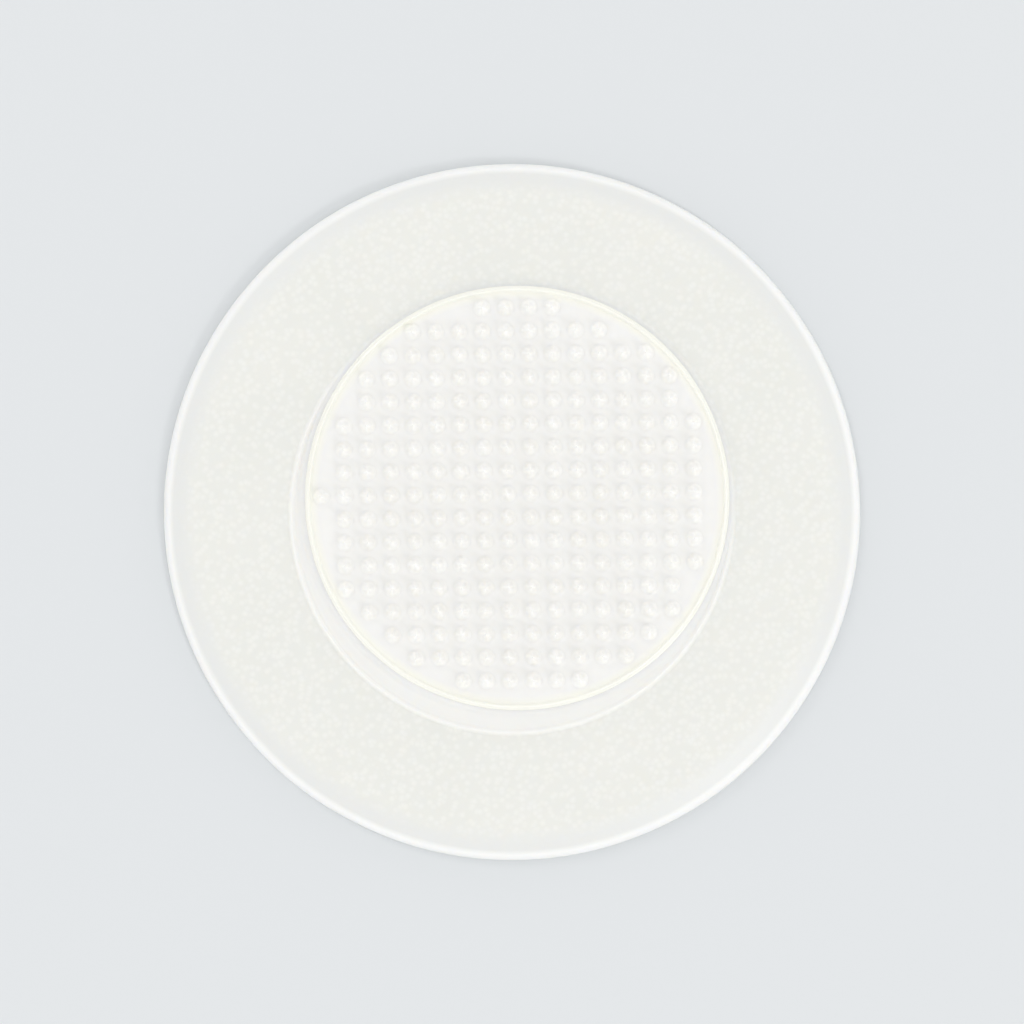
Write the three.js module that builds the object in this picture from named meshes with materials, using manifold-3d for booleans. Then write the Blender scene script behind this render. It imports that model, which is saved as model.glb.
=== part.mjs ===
// A microneedle acne patch: a soft hydrocolloid gel disc that sticks round a blemish, with an array
// of fine dissolving needles bonded to the middle of its sticky face. It lies on its backing,
// needles up. Millimetres, +Z up, and the origin is the middle of the backing face.

import * as THREE from "three";
import { mergeVertices } from "three/addons/utils/BufferGeometryUtils.js";
import Module from "manifold-3d";

const wasm = await Module();
wasm.setup();

// Gel disc. The die presses its edge thin: a shallow bevel, then a round edge.
const discDiameter = 12.0;
const discThickness = 0.45;
const bevelWidth = 0.4;
const bevelDrop = 0.1;
const faceEdgeRadius = 0.16; // how far in the edge is rounded over towards the sticky face
const backEdgeRadius = 0.06; // the same on the side of the backing
const edgeBand = 0.04; // the upright band between the two rounds

// Needle array: a round base film with a raised lip, and needles in a square grid
const arrayDiameter = 7.3;
const filmThickness = 0.12;
const lipWidth = 0.12;
const lipHeight = 0.045;
const arrayOffset = new THREE.Vector2(0.09, 0.24); // it is laid by machine, a little off centre

// Needles
const needlePitch = 0.4;
const needleHeight = 0.38;
const footDiameter = 0.3;
const waistDiameter = 0.18; // where the flared foot turns into the straight cone
const waistHeight = 0.09;
const lipClearance = 0.005; // the least gap between a needle's foot and the lip
const gridPhase = new THREE.Vector2(-0.165, 0.07); // the array is punched anywhere on its sheet
const gridTurn = THREE.MathUtils.degToRad(0.75);

// Facets
const discSides = 96;
const filmSides = 72;
const needleSides = 8;
const edgeSteps = 4;
const lipSteps = 6;

// Turned form about +Z from a profile of [radius, height] points, from the axis round to the axis.
function turned(profile, sides) {
  const points = profile.map(([radius, height]) => new THREE.Vector2(radius, height));
  return new THREE.LatheGeometry(points, sides).rotateX(Math.PI / 2);
}

// Points on a quarter of an ellipse, both ends included.
function quarterRound(centre, width, height, fromAngle, toAngle) {
  return Array.from({ length: edgeSteps + 1 }, (_, i) => {
    const angle = THREE.MathUtils.lerp(fromAngle, toAngle, i / edgeSteps);
    return [centre[0] + width * Math.cos(angle), centre[1] + height * Math.sin(angle)];
  });
}

// A closed geometry as a solid that can be joined.
function toSolid(geometry) {
  const bare = geometry.clone();
  bare.deleteAttribute("normal");
  bare.deleteAttribute("uv");
  const merged = mergeVertices(bare, 1e-5);
  return new wasm.Manifold(
    new wasm.Mesh({
      numProp: 3,
      vertProperties: merged.attributes.position.array,
      triVerts: new Uint32Array(merged.index.array),
    }),
  );
}

// A joined solid as a geometry again.
function toGeometry(solid) {
  const mesh = solid.getMesh();
  const geometry = new THREE.BufferGeometry();
  geometry.setAttribute("position", new THREE.BufferAttribute(mesh.vertProperties, 3));
  geometry.setIndex(new THREE.BufferAttribute(mesh.triVerts, 1));
  geometry.computeVertexNormals();
  return geometry;
}

// The disc is flat where it lies and where it sticks. Its sticky face is divided just outside the
// array, so that the free ring round the array is a face of its own.
function discGeometry() {
  const radius = discDiameter / 2;
  const pressedHeight = discThickness - bevelDrop;
  const faceRound = pressedHeight - backEdgeRadius - edgeBand;
  const ringInside = arrayDiameter / 2 + arrayOffset.length() + lipWidth;
  return turned(
    [
      [0, 0],
      ...quarterRound(
        [radius - backEdgeRadius, backEdgeRadius],
        backEdgeRadius,
        backEdgeRadius,
        -Math.PI / 2,
        0,
      ),
      ...quarterRound(
        [radius - faceEdgeRadius, backEdgeRadius + edgeBand],
        faceEdgeRadius,
        faceRound,
        0,
        Math.PI / 2,
      ),
      [radius - faceEdgeRadius - bevelWidth, discThickness],
      [ringInside, discThickness],
      [0, discThickness],
    ],
    discSides,
  );
}

// The lip is one smooth wave along the film's edge, which is punched square.
function filmGeometry() {
  const radius = arrayDiameter / 2;
  const lip = Array.from({ length: lipSteps + 1 }, (_, i) => {
    const across = i / lipSteps;
    return [radius - lipWidth * across, filmThickness + lipHeight * Math.sin(Math.PI * across) ** 2];
  });
  return turned([[0, 0], [radius, 0], ...lip, [0, filmThickness]], filmSides);
}

// One needle, from its root in the film up: a flared foot, then a straight cone to a sharp tip.
function needleGeometry() {
  const foot = footDiameter / 2;
  const root = filmThickness / 2;
  return turned(
    [
      [0, root],
      [foot, root],
      [foot, filmThickness],
      [waistDiameter / 2, filmThickness + waistHeight],
      [0, filmThickness + needleHeight],
    ],
    needleSides,
  );
}

// Every place of the square grid where a needle stands wholly inside the lip.
function needlePlaces() {
  const reach = arrayDiameter / 2 - lipWidth - lipClearance - footDiameter / 2;
  const most = Math.ceil(reach / needlePitch) + 1;
  const centre = new THREE.Vector2(0, 0);
  const places = [];
  for (let row = -most; row <= most; row++) {
    for (let column = -most; column <= most; column++) {
      const place = new THREE.Vector2(column, row).multiplyScalar(needlePitch).add(gridPhase);
      if (place.length() <= reach) places.push(place.rotateAround(centre, gridTurn));
    }
  }
  return places;
}

// The film and its needles are cast together, so they are one piece.
function arrayGeometry() {
  const needle = needleGeometry();
  const needles = needlePlaces().map(({ x, y }) => toSolid(needle.clone().translate(x, y, 0)));
  return toGeometry(wasm.Manifold.union([toSolid(filmGeometry()), ...needles]));
}

const hydrocolloid = new THREE.MeshStandardMaterial({
  color: 0xf0f1ec,
  roughness: 0.42,
  metalness: 0,
});
const driedGel = new THREE.MeshStandardMaterial({ color: 0xf6f4ee, roughness: 0.25, metalness: 0 });

const disc = new THREE.Mesh(discGeometry(), hydrocolloid);
disc.name = "hydrocolloid_disc";

const array = new THREE.Mesh(arrayGeometry(), driedGel);
array.name = "needle_array";
array.position.set(arrayOffset.x, arrayOffset.y, discThickness);

const patch = new THREE.Group();
patch.add(disc, array);

export default patch;
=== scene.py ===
# A microneedle acne patch, lying on its backing with the needles up: a soft, cloudy gel disc with a
# pressed edge, and the cast film of fine needles bonded to its sticky face.

import math

import bpy
from mathutils import Matrix, Vector, noise
from mathutils.geometry import delaunay_2d_cdt


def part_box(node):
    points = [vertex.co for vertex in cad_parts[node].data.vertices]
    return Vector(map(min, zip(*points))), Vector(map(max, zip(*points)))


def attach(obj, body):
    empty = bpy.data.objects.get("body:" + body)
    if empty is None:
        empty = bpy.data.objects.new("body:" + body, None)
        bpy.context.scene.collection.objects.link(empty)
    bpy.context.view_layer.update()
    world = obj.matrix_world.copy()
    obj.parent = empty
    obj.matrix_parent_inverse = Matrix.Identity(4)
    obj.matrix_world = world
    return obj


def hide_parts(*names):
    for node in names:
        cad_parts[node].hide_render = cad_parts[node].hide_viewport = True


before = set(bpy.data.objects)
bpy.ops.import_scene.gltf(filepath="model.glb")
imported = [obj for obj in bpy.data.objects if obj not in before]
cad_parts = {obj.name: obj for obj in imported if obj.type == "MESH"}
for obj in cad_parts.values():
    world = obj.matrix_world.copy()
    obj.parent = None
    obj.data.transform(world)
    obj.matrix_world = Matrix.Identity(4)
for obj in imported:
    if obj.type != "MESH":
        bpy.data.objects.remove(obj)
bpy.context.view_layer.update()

MM = 0.001

# Sizes that the frame gives
disc_low, disc_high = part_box("hydrocolloid_disc")
film_low, film_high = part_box("needle_array")
DISC_RADIUS = (disc_high.x - disc_low.x) / 2
DISC_TOP = disc_high.z
FILM_RADIUS = (film_high.x - film_low.x) / 2
FILM_CENTRE = ((film_low + film_high) / 2).to_2d()

# Gel disc, with the edge that the die presses
BEVEL_WIDTH = 0.4 * MM
BEVEL_DROP = 0.1 * MM
FACE_EDGE = 0.16 * MM  # how far in the edge is rounded over towards the sticky face
BACK_EDGE = 0.06 * MM
EDGE_BAND = 0.04 * MM
EDGE_STEPS = 8
DISC_SIDES = 288
RING_SPACING = 0.12 * MM
FINE_SPACING = 0.02 * MM  # near the needle film, where the gel has small forms
CUT_WOBBLE = 0.008 * MM  # the die's cut strays this far from a true circle
CUT_WAVES = 3.1  # cells of noise in the radius, so about twenty round the cut
STRAY_START = 0.8 * DISC_RADIUS  # inside this the disc is truly round

# Gel face
FACE_WAVE = 0.012 * MM  # the soft face isn't quite flat
FACE_WAVE_LENGTH = 1.3 * MM
WITNESS_RADIUS = 3.79 * MM  # a faint ridge stands in the gel, round the needle film
WITNESS_WIDTH = 0.13 * MM
WITNESS_HEIGHT = 0.04 * MM
CREEP_WIDTH = 0.13 * MM  # the soft gel creeps up the film's wall
CREEP_HEIGHT = 0.1 * MM

# Patterns in the gel, the marks of its making, and a painted highlight on its cut edge
CLOUD_SIZE = 1.6 * MM
GRAIN_SPACING = 0.11 * MM
GRAIN_RISE = 0.004 * MM
SKIN_SIZE = 0.09 * MM
SKIN_RISE = 0.006 * MM
BEVEL_FADE = 0.7  # the pressed look is full after this share of the bevel
RIM_LIGHT_START = -0.1  # the painted highlight on the cut edge begins and is full at these shares of the round
RIM_LIGHT_FULL = 0.4
RIM_LIGHT_FOOT = 0.2  # going up, the painted highlight begins and is full at these shares of the thickness
RIM_LIGHT_CROWN = 0.6

# Needle film
FILM_THICKNESS = 0.12 * MM
FILM_TOP = DISC_TOP + FILM_THICKNESS
FILM_EDGE = 0.02 * MM
FILM_EDGE_STEPS = 4
FILM_SIDES = 256
FILM_DISH = 0.008 * MM  # the film dries a little hollow between four needles
SEAT_GAP = 0.001 * MM  # keeps the film's under side and the gel from sharing a plane
LIP_WIDTH = 0.12 * MM
LIP_HEIGHT = 0.045 * MM
LIP_STEPS = 12
LIP_SPREAD = 0.5  # the lip's height varies by up to this share of itself
LIP_WAVES = 2.3  # cells of noise in the radius, so about fourteen round the lip
LIP_LIGHT_FADE = 0.1  # the lip's whiter colour, partly painted highlight, is full from this share of its width inside its foot
RIPPLE_SIZE = 0.15 * MM
RIPPLE_RISE = 0.008 * MM

# Needles
NEEDLE_PITCH = 0.4 * MM
NEEDLE_HEIGHT = film_high.z - FILM_TOP
FOOT_RADIUS = 0.15 * MM
WAIST_RADIUS = 0.09 * MM  # where the flared foot has turned into the straight cone
WAIST_HEIGHT = 0.09 * MM
FLARE_FALL = 3  # the flare has shrunk by this power of e at the waist
WHITE_START = 0.02  # a needle takes its whiter colour, partly painted light, above this share of its height
CONE_RADIUS = WAIST_RADIUS / (1 - WAIST_HEIGHT / NEEDLE_HEIGHT)  # the same cone, at the film
LIP_CLEARANCE = 0.005 * MM
GRID_PHASE = Vector((-0.165, 0.07)) * MM
GRID_TURN = math.radians(0.75)
NEEDLE_SIDES = 20
NEEDLE_RINGS = 11
RING_CROWDING = 1.6  # above 1, the rings crowd together at the flared foot
TIP_HEIGHT = 0.006 * MM  # of the point above the last ring
HEIGHT_SPREAD = 0.03  # a needle dries short by up to this share of its height
SPREAD_LENGTH = 0.37 * MM

# Stage, in metres where a size isn't the patch's own
FLOOR_SIZE = 1.2
FLOOR_GAP = 0.002 * MM  # keeps the floor and the backing from sharing a plane
BOARD_COLOUR = "#e3e6e8"
FRAME_WIDTH = 17.6 * MM  # what the camera takes in
LENS = 250.0
SENSOR = 36.0
TENT_TOP = 0.66  # the light tent overhead, where 1 is white
TENT_SIDES = 0.85  # what the tent's sides add to it at the horizon
SOFT_BOXES = {
    "lower_right_soft_box": ((0.24, -0.26, 0.42), 0.12, 0.09),
    "upper_left_soft_box": ((-0.24, 0.26, 0.42), 0.12, 0.045),
    "top_soft_box": ((0, 0, 0.6), 0.5, 0.1),
}  # place, size, and share of the light on a level face


def linear(hex_colour):
    """An sRGB hex colour as linear red, green, blue and alpha."""
    parts = [int(hex_colour[i : i + 2], 16) / 255 for i in (1, 3, 5)]
    return tuple(c / 12.92 if c <= 0.04045 else ((c + 0.055) / 1.055) ** 2.4 for c in parts) + (1,)


# Mesh helpers


def smoothstep(start, end, value):
    """A share that rises smoothly from 0 at the start to 1 at the end."""
    along = min(max((value - start) / (end - start), 0), 1)
    return along * along * (3 - 2 * along)


def spaced(first, last, spacing):
    """Even steps from first to last, both included, no further apart than the spacing."""
    count = math.ceil(abs(last - first) / spacing)
    return [first + (last - first) * i / count for i in range(count + 1)]


def quarter_round(centre, width, height, start, steps):
    """Points on a quarter of an ellipse, anticlockwise from the start angle."""
    angles = [start + math.pi / 2 * i / steps for i in range(steps + 1)]
    return [(centre[0] + width * math.cos(a), centre[1] + height * math.sin(a)) for a in angles]


def ring_points(radius, height, sides, centre=(0, 0)):
    """Points on a level circle, with the same start and direction for every ring."""
    turns = [math.tau * i / sides for i in range(sides)]
    return [
        Vector((centre[0] + radius * math.cos(a), centre[1] + radius * math.sin(a), height))
        for a in turns
    ]


def bridge(low, high, sides):
    """Faces between two rings of points, given the number of each ring's first point."""
    nexts = [(i, (i + 1) % sides) for i in range(sides)]
    return [(low + i, low + n, high + n, high + i) for i, n in nexts]


def fan(middle, ring, sides):
    """Faces from a ring of points to one point."""
    return [(ring + i, ring + (i + 1) % sides, middle) for i in range(sides)]


def make_piece(name, node, points, faces, material):
    """A smooth-shaded piece of the patch, which stands for one solid of the frame."""
    mesh = bpy.data.meshes.new(name)
    mesh.from_pydata(points, [], faces)
    mesh.shade_smooth()
    mesh.materials.append(material)
    piece = bpy.data.objects.new(name, mesh)
    bpy.context.scene.collection.objects.link(piece)
    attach(piece, "root")
    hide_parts(node)


# Gel disc


def disc_profile():
    """Radius and height from the middle of the backing, round the edge, to the middle of the face."""
    pressed = DISC_TOP - BEVEL_DROP
    edge_foot = BACK_EDGE + EDGE_BAND
    back = quarter_round(
        (DISC_RADIUS - BACK_EDGE, BACK_EDGE), BACK_EDGE, BACK_EDGE, -math.pi / 2, EDGE_STEPS
    )
    face = quarter_round(
        (DISC_RADIUS - FACE_EDGE, edge_foot), FACE_EDGE, pressed - edge_foot, 0, EDGE_STEPS
    )
    bevel_foot = DISC_RADIUS - FACE_EDGE
    bevel_top = bevel_foot - BEVEL_WIDTH
    bevel = [
        (
            bevel_foot - BEVEL_WIDTH * i / EDGE_STEPS,
            pressed + BEVEL_DROP * math.sin(math.pi / 2 * i / EDGE_STEPS),
        )
        for i in range(1, EDGE_STEPS + 1)
    ]
    fine_outside = FILM_RADIUS + FILM_CENTRE.length + CREEP_WIDTH
    fine_inside = FILM_RADIUS - FILM_CENTRE.length - FINE_SPACING
    backing = spaced(0, DISC_RADIUS - BACK_EDGE, DISC_RADIUS / 4)[1:-1]
    free = spaced(bevel_top, fine_outside, RING_SPACING)[1:]
    fine = spaced(fine_outside, fine_inside, FINE_SPACING)[1:]
    covered = spaced(fine_inside, 0, DISC_RADIUS / 8)[1:-1]
    level = [(radius, DISC_TOP) for radius in free + fine + covered]
    return [(radius, 0) for radius in backing] + back + face + bevel + level


def gel_relief(point):
    """How far the gel's face stands off level: its waves, the ridge, and the creep at the film."""
    past_film = (point.to_2d() - FILM_CENTRE).length - FILM_RADIUS
    across = (point.to_2d().length - WITNESS_RADIUS) / WITNESS_WIDTH
    ridge = WITNESS_HEIGHT * math.cos(math.pi * across) ** 2 if abs(across) < 0.5 else 0
    ridge *= smoothstep(0, WITNESS_WIDTH, past_film)
    reach = min(max(1 - past_film / CREEP_WIDTH, 0), 1)
    creep = CREEP_HEIGHT * reach**2 * smoothstep(-2 * FINE_SPACING, -FINE_SPACING, past_film)
    wave = FACE_WAVE * (noise.noise(point / FACE_WAVE_LENGTH) - 1) / 2
    return max(ridge, creep) + wave * smoothstep(0, FACE_WAVE_LENGTH / 2, past_film)


def make_gel_disc(material):
    """The gel disc, with the slight strays of a soft sheet cut by a die."""
    profile = disc_profile()
    points = [Vector((0, 0, 0))]
    for radius, height in profile:
        rim = smoothstep(STRAY_START, DISC_RADIUS, radius)
        for point in ring_points(radius, height, DISC_SIDES):
            outward = point.to_2d().normalized()
            stray = CUT_WOBBLE * rim * noise.noise(CUT_WAVES * outward.to_3d())
            point += stray * outward.to_3d()
            if height > DISC_TOP / 2:
                point.z += gel_relief(point)
            points.append(point)
    faces = [tuple(reversed(face)) for face in fan(0, 1, DISC_SIDES)]
    rings = range(1, len(points), DISC_SIDES)
    for low, high in zip(rings, rings[1:]):
        faces += bridge(low, high, DISC_SIDES)
    faces += fan(len(points), rings[-1], DISC_SIDES)
    points.append(Vector((0, 0, DISC_TOP)))
    make_piece("gel_disc", "hydrocolloid_disc", points, faces, material)


# Needle film


def grid_place(column, row):
    """A place of the needles' square grid, seen from above."""
    place = Vector((column, row)) * NEEDLE_PITCH + GRID_PHASE
    return Matrix.Rotation(GRID_TURN, 2) @ place + FILM_CENTRE


def needle_places():
    """Every place of the square grid where a needle stands wholly inside the lip."""
    reach = FILM_RADIUS - LIP_WIDTH - LIP_CLEARANCE - FOOT_RADIUS
    most = math.ceil(reach / NEEDLE_PITCH) + 1
    numbers = range(-most, most + 1)
    places = [grid_place(column, row) for row in numbers for column in numbers]
    return [place for place in places if (place - FILM_CENTRE).length <= reach]


def needle_profile():
    """Radius and height of a needle's rings above the film, from its flared foot to its tip."""
    rings = []
    for i in range(NEEDLE_RINGS):
        height = (NEEDLE_HEIGHT - TIP_HEIGHT) * (i / (NEEDLE_RINGS - 1)) ** RING_CROWDING
        flare = (FOOT_RADIUS - CONE_RADIUS) * math.exp(-FLARE_FALL * height / WAIST_HEIGHT)
        cone = CONE_RADIUS * (1 - height / NEEDLE_HEIGHT)
        rings.append((cone + flare, height))
    return rings


def film_rim():
    """Radius and height of the film's rings: wall, rounded edge and lip, from under side to face."""
    wall = [(FILM_RADIUS, DISC_TOP + SEAT_GAP)]
    start = FILM_RADIUS - FILM_EDGE
    edge = quarter_round((start, FILM_TOP - FILM_EDGE), FILM_EDGE, FILM_EDGE, 0, FILM_EDGE_STEPS)
    lip = [
        (
            start - (LIP_WIDTH - FILM_EDGE) * i / LIP_STEPS,
            FILM_TOP + LIP_HEIGHT * math.sin(math.pi * i / LIP_STEPS) ** 2,
        )
        for i in range(1, LIP_STEPS + 1)
    ]
    return wall + edge + lip


def rim_points():
    """The film's rings of points, with a lip that stands a little higher in some places."""
    points = []
    for radius, height in film_rim():
        for point in ring_points(radius, height, FILM_SIDES, FILM_CENTRE):
            outward = (point.to_2d() - FILM_CENTRE).normalized()
            share = 1 + LIP_SPREAD * noise.noise(LIP_WAVES * outward.to_3d())
            if height > FILM_TOP:
                point.z = FILM_TOP + (height - FILM_TOP) * share
            points.append(point)
    return points


def face_triangles(points, loops, hollows):
    """Triangles of the film's face, inside the first loop of points and outside the others."""
    loop_of = {index: number for number, loop in enumerate(loops) for index in loop}
    flat = list(loop_of) + list(hollows)
    place_of = {index: place for place, index in enumerate(flat)}
    edges = [
        (place_of[index], place_of[loop[(i + 1) % len(loop)]])
        for loop in loops
        for i, index in enumerate(loop)
    ]
    plan = [points[index].to_2d() / MM for index in flat]
    _, _, triangles, sources, _, _ = delaunay_2d_cdt(plan, edges, [], 0, 1e-7)
    faces = []
    for triangle in triangles:
        face = tuple(flat[sources[corner][0]] for corner in triangle)
        owners = {loop_of.get(index) for index in face}
        if len(owners) > 1 or owners <= {0, None}:
            faces.append(face)
    return faces


def make_needle_film(material):
    """The cast film and its needles, as one closed mesh."""
    points = [Vector((*FILM_CENTRE, DISC_TOP + SEAT_GAP))] + rim_points()
    faces = [tuple(reversed(face)) for face in fan(0, 1, FILM_SIDES)]
    rings = range(1, len(points), FILM_SIDES)
    for low, high in zip(rings, rings[1:]):
        faces += bridge(low, high, FILM_SIDES)
    loops = [range(rings[-1], rings[-1] + FILM_SIDES)]

    places = needle_places()
    profile = needle_profile()
    for place in places:
        foot = len(points)
        tall = 1 - HEIGHT_SPREAD * abs(noise.noise(place.to_3d() / SPREAD_LENGTH))
        for radius, height in profile:
            points += ring_points(radius, FILM_TOP + height * tall, NEEDLE_SIDES, place)
        rings = range(foot, len(points), NEEDLE_SIDES)
        for low, high in zip(rings, rings[1:]):
            faces += bridge(low, high, NEEDLE_SIDES)
        faces += fan(len(points), rings[-1], NEEDLE_SIDES)
        points.append(Vector((*place, FILM_TOP + NEEDLE_HEIGHT * tall)))
        loops.append(range(foot, foot + NEEDLE_SIDES))

    first_hollow = len(points)
    for place in places:
        hollow = place + Vector((NEEDLE_PITCH, NEEDLE_PITCH)) / 2
        if (hollow - FILM_CENTRE).length < FILM_RADIUS - LIP_WIDTH - FOOT_RADIUS:
            points.append(Vector((*hollow, FILM_TOP - FILM_DISH)))
    faces += face_triangles(points, loops, range(first_hollow, len(points)))
    make_piece("needle_film", "needle_array", points, faces, material)


# Materials


def new_material(name):
    """An empty node material and its tree."""
    material = bpy.data.materials.new(name)
    material.use_nodes = True
    material.node_tree.nodes.clear()
    return material, material.node_tree


def add(tree, kind, output=None, sockets=None, **settings):
    """Adds one node with its settings. A socket takes a value, a hex colour, or an earlier node's
    output, which is linked. Gives back the output that is asked for."""
    made = tree.nodes.new(kind)
    for name, value in settings.items():
        setattr(made, name, value)
    for name, value in (sockets or {}).items():
        if isinstance(value, bpy.types.NodeSocket):
            tree.links.new(value, made.inputs[name])
        else:
            made.inputs[name].default_value = linear(value) if isinstance(value, str) else value
    return None if output is None else made.outputs[output]


def distance_from(tree, place, axis):
    """How far a place is from an upright axis."""
    level = add(
        tree, "ShaderNodeVectorMath", "Vector", {0: place, 1: (1, 1, 0)}, operation="MULTIPLY"
    )
    foot = (axis[0], axis[1], 0)
    return add(tree, "ShaderNodeVectorMath", "Value", {0: level, 1: foot}, operation="DISTANCE")


def hydrocolloid_gel():
    """Hydrocolloid, a rubbery gum full of fine swelling grains, pressed to a sheet and die cut.
    The grains make it cloudy and a little pebbled, so light goes in, spreads and comes out soft.
    Where the die has pressed it thin it is clearer and greyer, and its cut edge is painted whiter
    again as a painted highlight.
    Inside the ridge round the film it is painted whiter too, as painted light over the shade that the
    film's wall casts there."""
    material, tree = new_material("die_cut_hydrocolloid_gel")
    place = add(tree, "ShaderNodeTexCoord", "Object")
    height = add(tree, "ShaderNodeSeparateXYZ", "Z", {"Vector": place})
    radius = distance_from(tree, place, (0, 0))

    # The sheet is cloudy in patches of a millimetre or two.
    clouds = add(
        tree,
        "ShaderNodeTexNoise",
        "Fac",
        {"Vector": place, "Scale": 1 / CLOUD_SIZE, "Detail": 2.0, "Roughness": 0.5},
    )
    colour = add(
        tree,
        "ShaderNodeMix",
        2,
        {"Factor": clouds, 6: "#ebece7", 7: "#f0f0eb"},
        data_type="RGBA",
    )

    # Swollen grains a tenth of a millimetre apart, whiter in their middles
    grains = add(
        tree,
        "ShaderNodeTexVoronoi",
        "Distance",
        {"Vector": place, "Scale": 1 / GRAIN_SPACING},
    )
    middles = add(
        tree,
        "ShaderNodeMapRange",
        "Result",
        {"Value": grains, "From Min": 0.6, "From Max": 0.15, "To Max": 0.38},
    )
    colour = add(
        tree, "ShaderNodeMix", 2, {"Factor": middles, 6: colour, 7: "#fafaf6"}, data_type="RGBA"
    )

    # The bevel, a painted highlight on the cut edge above its middle, and painted light on the gel
    # inside the ridge
    bevel_foot = DISC_RADIUS - FACE_EDGE
    pressed = add(
        tree,
        "ShaderNodeMapRange",
        "Result",
        {
            "Value": radius,
            "From Min": bevel_foot - BEVEL_WIDTH,
            "From Max": bevel_foot - (1 - BEVEL_FADE) * BEVEL_WIDTH,
        },
    )
    colour = add(
        tree, "ShaderNodeMix", 2, {"Factor": pressed, 6: colour, 7: "#ebecea"}, data_type="RGBA"
    )
    # Painted highlight: the upper part of the cut edge is painted whiter. It stands in for the light
    # that the rounded edge catches and lets out.
    upper = add(
        tree,
        "ShaderNodeMapRange",
        "Result",
        {"Value": height, "From Min": RIM_LIGHT_FOOT * DISC_TOP, "From Max": RIM_LIGHT_CROWN * DISC_TOP},
    )
    cut = add(
        tree,
        "ShaderNodeMapRange",
        "Result",
        {
            "Value": radius,
            "From Min": bevel_foot + RIM_LIGHT_START * FACE_EDGE,
            "From Max": bevel_foot + RIM_LIGHT_FULL * FACE_EDGE,
            "To Max": upper,
        },
    )
    colour = add(
        tree, "ShaderNodeMix", 2, {"Factor": cut, 6: colour, 7: "#f8f9f6"}, data_type="RGBA"
    )
    # Painted light: the gel inside the ridge is painted whiter to lift the shade that the film's wall
    # casts on it.
    painted_crescent_light = add(
        tree,
        "ShaderNodeMapRange",
        "Result",
        {
            "Value": radius,
            "From Min": WITNESS_RADIUS + WITNESS_WIDTH / 2,
            "From Max": WITNESS_RADIUS,
        },
    )
    colour = add(
        tree, "ShaderNodeMix", 2, {"Factor": painted_crescent_light, 6: colour, 7: "#f9f8f3"}, data_type="RGBA"
    )

    # Grains that stand up a little, and a finer skin between them
    pebbled = add(
        tree,
        "ShaderNodeBump",
        "Normal",
        {"Height": grains, "Strength": 0.5, "Distance": GRAIN_RISE},
        invert=True,
    )
    skin = add(
        tree,
        "ShaderNodeTexNoise",
        "Fac",
        {"Vector": place, "Scale": 1 / SKIN_SIZE, "Detail": 3.0, "Roughness": 0.6},
    )
    normal = add(
        tree,
        "ShaderNodeBump",
        "Normal",
        {"Height": skin, "Strength": 0.4, "Distance": SKIN_RISE, "Normal": pebbled},
    )
    shader = add(
        tree,
        "ShaderNodeBsdfPrincipled",
        "BSDF",
        {
            "Base Color": colour,
            "Roughness": 0.38,
            "IOR": 1.5,
            "Subsurface Weight": 0.7,
            "Subsurface Radius": (1.0, 0.92, 0.8),
            "Subsurface Scale": 0.15 * MM,
            "Normal": normal,
        },
    )
    add(tree, "ShaderNodeOutputMaterial", sockets={"Surface": shader})
    return material


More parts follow.
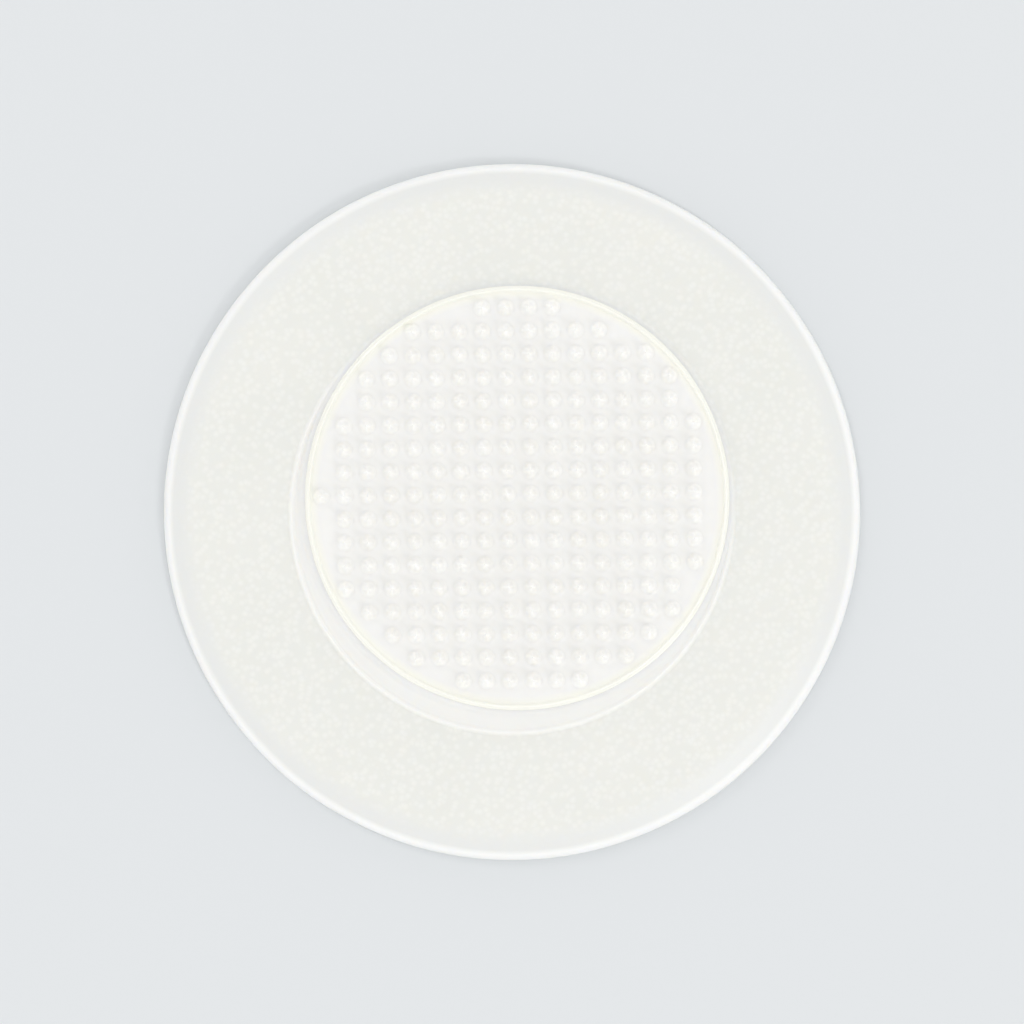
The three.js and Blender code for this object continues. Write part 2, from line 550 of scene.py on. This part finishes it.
def cast_gum():
    """A sugar-like gum, cast wet into a mould and dried glassy, with a faint ripple.
    The thin film lets the light through, and the needles and the lip stand whiter, partly for being
    thicker and partly as painted light: the needles are painted brighter than the ground between
    them, and the lip carries a painted highlight. Each needle has dried with its own share of tiny
    bubbles, so some are whiter."""
    material, tree = new_material("cast_dried_gum")
    place = add(tree, "ShaderNodeTexCoord", "Object")
    height = add(tree, "ShaderNodeSeparateXYZ", "Z", {"Vector": place})

    # One random share for each cell of the needles' grid
    corner = grid_place(-0.5, -0.5)
    cells = add(
        tree,
        "ShaderNodeMapping",
        "Vector",
        {
            "Vector": place,
            "Location": (corner.x, corner.y, 0),
            "Rotation": (0, 0, GRID_TURN),
            "Scale": (NEEDLE_PITCH, NEEDLE_PITCH, 1),
        },
        vector_type="TEXTURE",
    )
    cell = add(tree, "ShaderNodeVectorMath", "Vector", {0: cells}, operation="FLOOR")
    bubbles = add(tree, "ShaderNodeTexWhiteNoise", "Value", {"Vector": cell})
    needle = add(
        tree,
        "ShaderNodeMix",
        2,
        {"Factor": bubbles, 6: "#fbfaf5", 7: "#fffffc"},
        data_type="RGBA",
    )

    # Film, needles above it painted brighter, and the lip at its edge with a painted highlight
    # Partly painted light: the needles are painted brighter than the film between them. The film's
    # greyer tone is partly the gel showing through it and partly painted shade in the gaps.
    above_film = add(
        tree,
        "ShaderNodeMapRange",
        "Result",
        {"Value": height, "From Min": FILM_TOP, "From Max": FILM_TOP + WHITE_START * NEEDLE_HEIGHT},
    )
    colour = add(
        tree,
        "ShaderNodeMix",
        2,
        {"Factor": above_film, 6: "#f8f7f4", 7: needle},
        data_type="RGBA",
    )
    # Partly painted highlight: the lip is painted whiter and creamier. This is partly the tint of its
    # own thicker gum and partly the bright line it catches.
    lip = add(
        tree,
        "ShaderNodeMapRange",
        "Result",
        {
            "Value": distance_from(tree, place, FILM_CENTRE),
            "From Min": FILM_RADIUS - 2 * LIP_WIDTH,
            "From Max": FILM_RADIUS - (1 + LIP_LIGHT_FADE) * LIP_WIDTH,
        },
    )
    colour = add(
        tree, "ShaderNodeMix", 2, {"Factor": lip, 6: colour, 7: "#fffef2"}, data_type="RGBA"
    )

    ripple = add(
        tree,
        "ShaderNodeTexNoise",
        "Fac",
        {"Vector": place, "Scale": 1 / RIPPLE_SIZE, "Detail": 2.0, "Roughness": 0.5},
    )
    normal = add(
        tree,
        "ShaderNodeBump",
        "Normal",
        {"Height": ripple, "Strength": 0.15, "Distance": RIPPLE_RISE},
    )
    shader = add(
        tree,
        "ShaderNodeBsdfPrincipled",
        "BSDF",
        {
            "Base Color": colour,
            "Roughness": 0.2,
            "IOR": 1.5,
            "Subsurface Weight": 0.4,
            "Subsurface Radius": (1.0, 0.95, 0.85),
            "Subsurface Scale": 0.08 * MM,
            "Normal": normal,
        },
    )
    add(tree, "ShaderNodeOutputMaterial", sockets={"Surface": shader})
    return material


def painted_board():
    """Smooth painted board, rolled matt, so that it takes a soft shadow and no gloss."""
    material, tree = new_material("matt_painted_board")
    shader = add(
        tree,
        "ShaderNodeBsdfPrincipled",
        "BSDF",
        {"Base Color": BOARD_COLOUR, "Roughness": 0.9, "Specular IOR Level": 0.2},
    )
    add(tree, "ShaderNodeOutputMaterial", sockets={"Surface": shader})
    return material


# Stage


def make_floor(material):
    """A flat board just under the patch, which takes its shadow."""
    half = FLOOR_SIZE / 2
    corners = [(-half, -half), (half, -half), (half, half), (-half, half)]
    mesh = bpy.data.meshes.new("floor")
    mesh.from_pydata([(x, y, -FLOOR_GAP) for x, y in corners], [], [(0, 1, 2, 3)])
    mesh.materials.append(material)
    floor = bpy.data.objects.new("floor", mesh)
    bpy.context.scene.collection.objects.link(floor)


def make_light_tent():
    """A white tent all round, a little brighter at the sides. The camera sees the board's colour."""
    world = bpy.data.worlds.new("light_tent")
    world.use_nodes = True
    tree = world.node_tree
    tree.nodes.clear()
    seen = add(tree, "ShaderNodeLightPath", "Is Camera Ray")
    way = add(tree, "ShaderNodeTexCoord", "Generated")
    rise = add(tree, "ShaderNodeSeparateXYZ", "Z", {"Vector": way})
    fall = add(
        tree, "ShaderNodeMath", "Value", {0: 1.0, 1: rise}, operation="SUBTRACT", use_clamp=True
    )
    sides = add(tree, "ShaderNodeMath", "Value", {0: fall, 1: 2.0}, operation="POWER")
    strength = add(
        tree,
        "ShaderNodeMath",
        "Value",
        {0: sides, 1: TENT_SIDES, 2: TENT_TOP},
        operation="MULTIPLY_ADD",
    )
    light = add(tree, "ShaderNodeBackground", 0, {"Color": "#ffffff", "Strength": strength})
    backdrop = add(tree, "ShaderNodeBackground", 0, {"Color": BOARD_COLOUR, "Strength": 1.0})
    mixed = add(tree, "ShaderNodeMixShader", 0, {0: seen, 1: light, 2: backdrop})
    add(tree, "ShaderNodeOutputWorld", sockets={"Surface": mixed})
    bpy.context.scene.world = world


def make_soft_box(name, place, size, share):
    """A square soft box that points at the patch. Its share is of the light on a level face."""
    place = Vector(place)
    lamp = bpy.data.lights.new(name, "AREA")
    lamp.shape = "SQUARE"
    lamp.size = size
    lamp.energy = share * math.pi**2 * place.length**3 / place.z
    holder = bpy.data.objects.new(name, lamp)
    holder.location = place
    holder.rotation_euler = (-place).to_track_quat("-Z", "Y").to_euler()
    holder.visible_camera = False
    bpy.context.scene.collection.objects.link(holder)


def make_camera():
    """A long lens, straight above the patch."""
    data = bpy.data.cameras.new("camera")
    data.lens = LENS
    data.sensor_width = SENSOR
    data.clip_start = 0.001
    data.clip_end = 10
    camera = bpy.data.objects.new("camera", data)
    camera.location = (0, 0, FRAME_WIDTH * LENS / SENSOR + DISC_TOP)
    bpy.context.scene.collection.objects.link(camera)
    bpy.context.scene.camera = camera


bpy.context.scene.view_settings.view_transform = "Standard"
make_camera()
make_light_tent()
for name, (place, size, share) in SOFT_BOXES.items():
    make_soft_box(name, place, size, share)
make_floor(painted_board())
make_gel_disc(hydrocolloid_gel())
make_needle_film(cast_gum())
